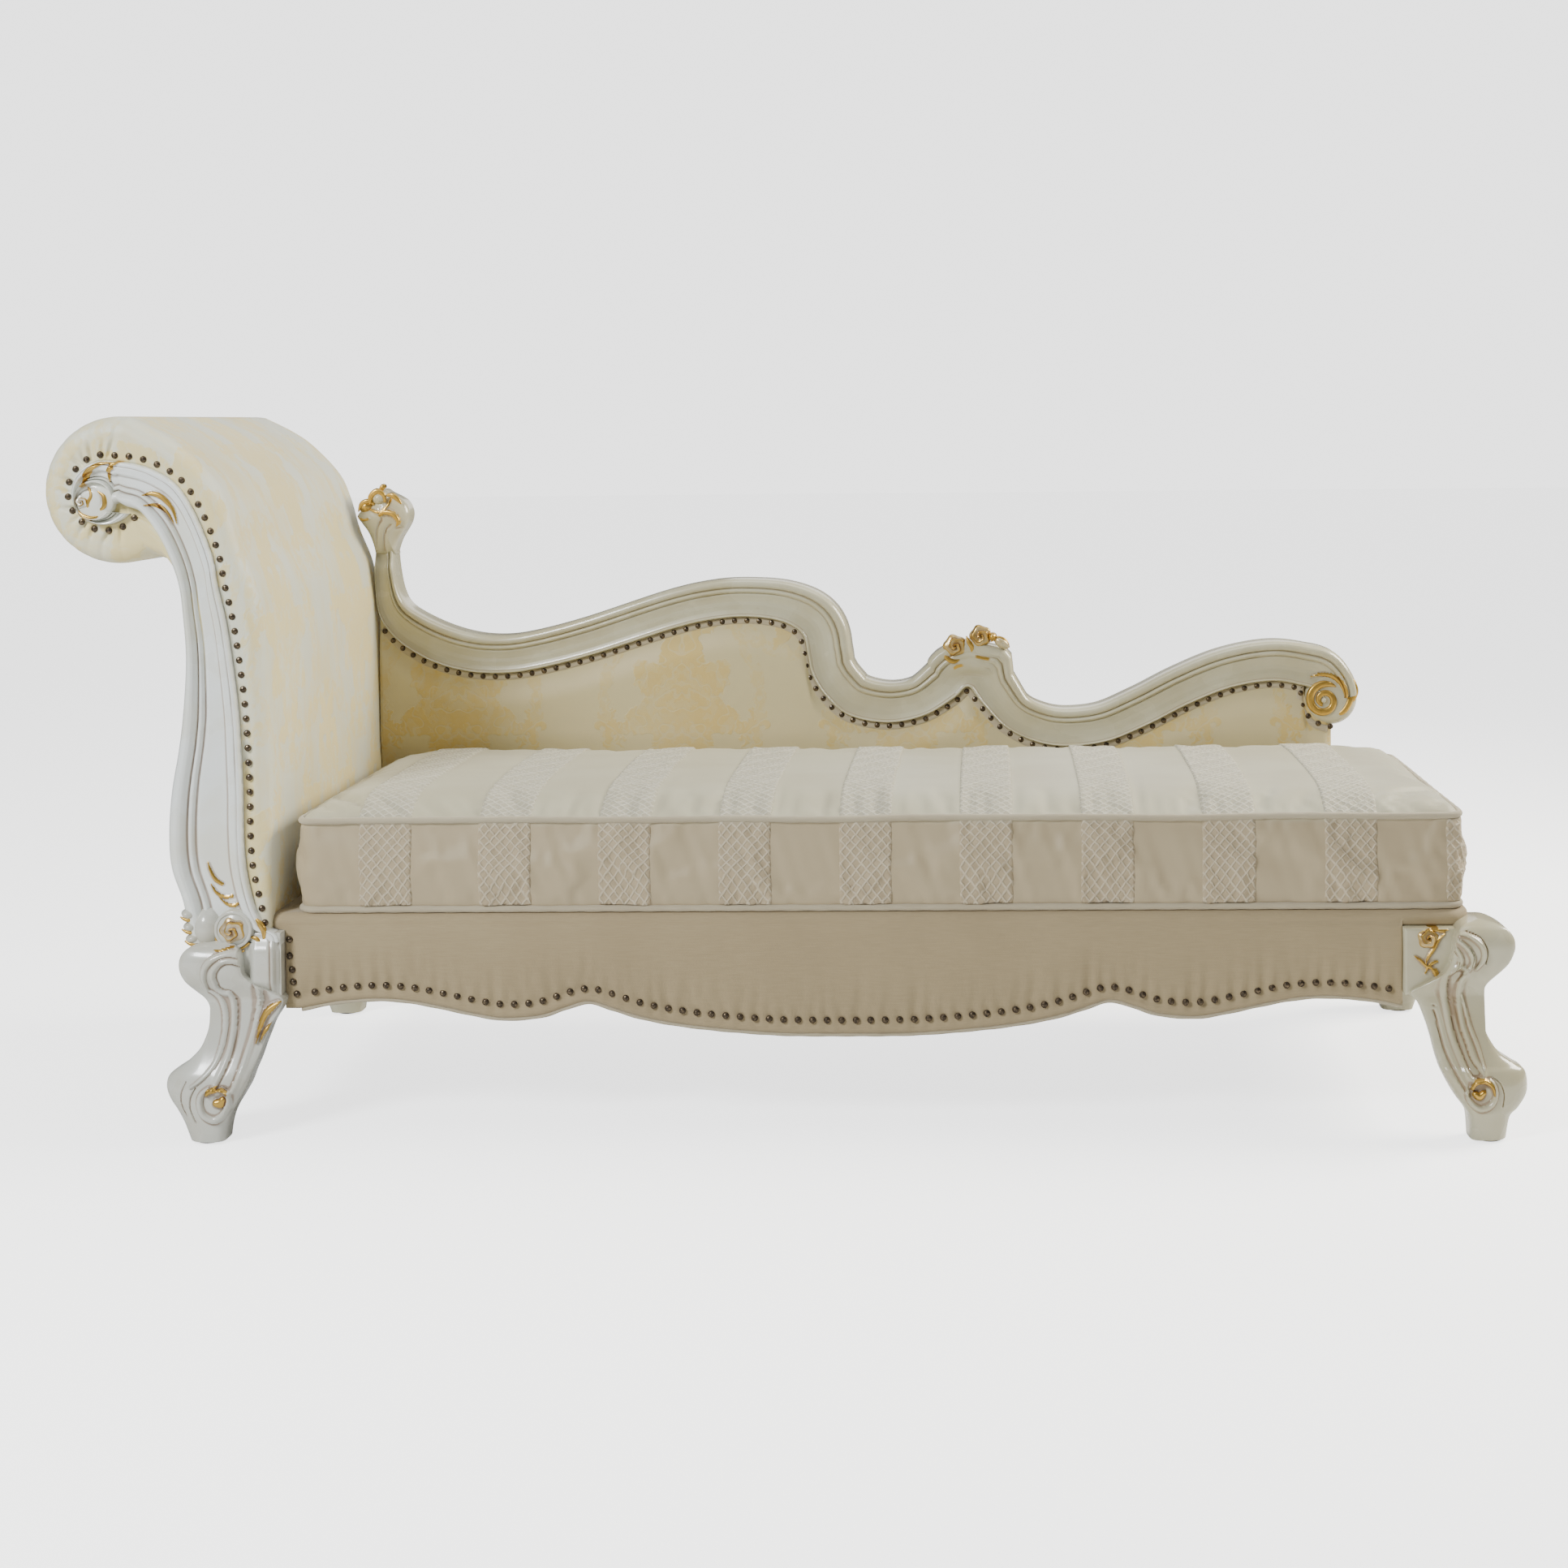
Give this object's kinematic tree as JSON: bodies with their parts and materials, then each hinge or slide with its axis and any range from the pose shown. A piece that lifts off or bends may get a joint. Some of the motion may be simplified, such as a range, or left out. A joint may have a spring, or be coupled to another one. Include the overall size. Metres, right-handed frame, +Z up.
{
  "type": "chaise longue",
  "caption": "Upholstered chaise longue with a scrolled headrest, carved half back, cabriole legs and a loose quilted seat cushion.",
  "frame": {"origin": "centre of the bounding box's footprint, on the floor", "axes": "+X along the length from the headrest to the foot end, -Y to the front, +Z up"},
  "size_m": [2.1299, 0.7902, 1.0399],
  "materials": {
    "hardwood": "planed",
    "pearl_wood": "pearl white gloss paint over carved wood, reddish brown in the grooves",
    "gilt_wood": "gilded",
    "brass_nails": "antique",
    "plain_linen": "plain weave",
    "damask": "ivory damask with golden medallions",
    "wadding": "polyester wadding",
    "jute": "coarse weave",
    "piping": "satin cord",
    "bolt_steel": "zinc plated",
    "felt_glides": "matte",
    "dust_cloth": "non-woven",
    "striped_quilt": "satin with quilted trellis bands"
  },
  "bodies": {
    "frame": {"front_rail": "hardwood", "rear_rail": "hardwood", "head_rail": "hardwood", "foot_rail": "hardwood", "cross_stretchers": "hardwood", "corner_braces": "hardwood", "leg_bolts": "bolt_steel", "seat_webbing": "jute", "deck_padding": "wadding", "deck_cover": "plain_linen", "apron_cover": "plain_linen", "apron_hem_welt": "piping", "rear_apron_cover": "plain_linen", "foot_end_cover": "plain_linen", "head_end_cover": "plain_linen", "dust_cover": "dust_cloth", "front_head_leg": "pearl_wood", "front_foot_leg": "pearl_wood", "rear_head_leg": "pearl_wood", "rear_foot_leg": "pearl_wood", "foot_glides": "felt_glides", "head_side_boards": "hardwood", "head_slats": "hardwood", "head_lining": "jute", "head_padding": "wadding", "head_cover": "damask", "roll_cover": "damask", "scroll_facing": "pearl_wood", "volute_rose": "gilt_wood", "post_rose": "gilt_wood", "leg_rose": "gilt_wood", "crest_rail": "pearl_wood", "crest_finial": "gilt_wood", "crest_roses": "gilt_wood", "crest_volute": "gilt_wood", "back_posts": "hardwood", "back_burlap": "jute", "back_padding": "wadding", "back_cover": "damask", "outside_back_cover": "plain_linen", "apron_nails": "brass_nails", "facing_nails": "brass_nails", "crest_nails": "brass_nails"},
    "cushion": {"cushion_core": "wadding", "cushion_cover": "striped_quilt", "cushion_welts": "piping"}
  },
  "joints": [
    {"name": "cushion_lift", "type": "slide", "parent": "frame", "child": "cushion", "axis": [0, -0.4472, 0.8944], "range_m": [0, 0.3]}
  ]
}
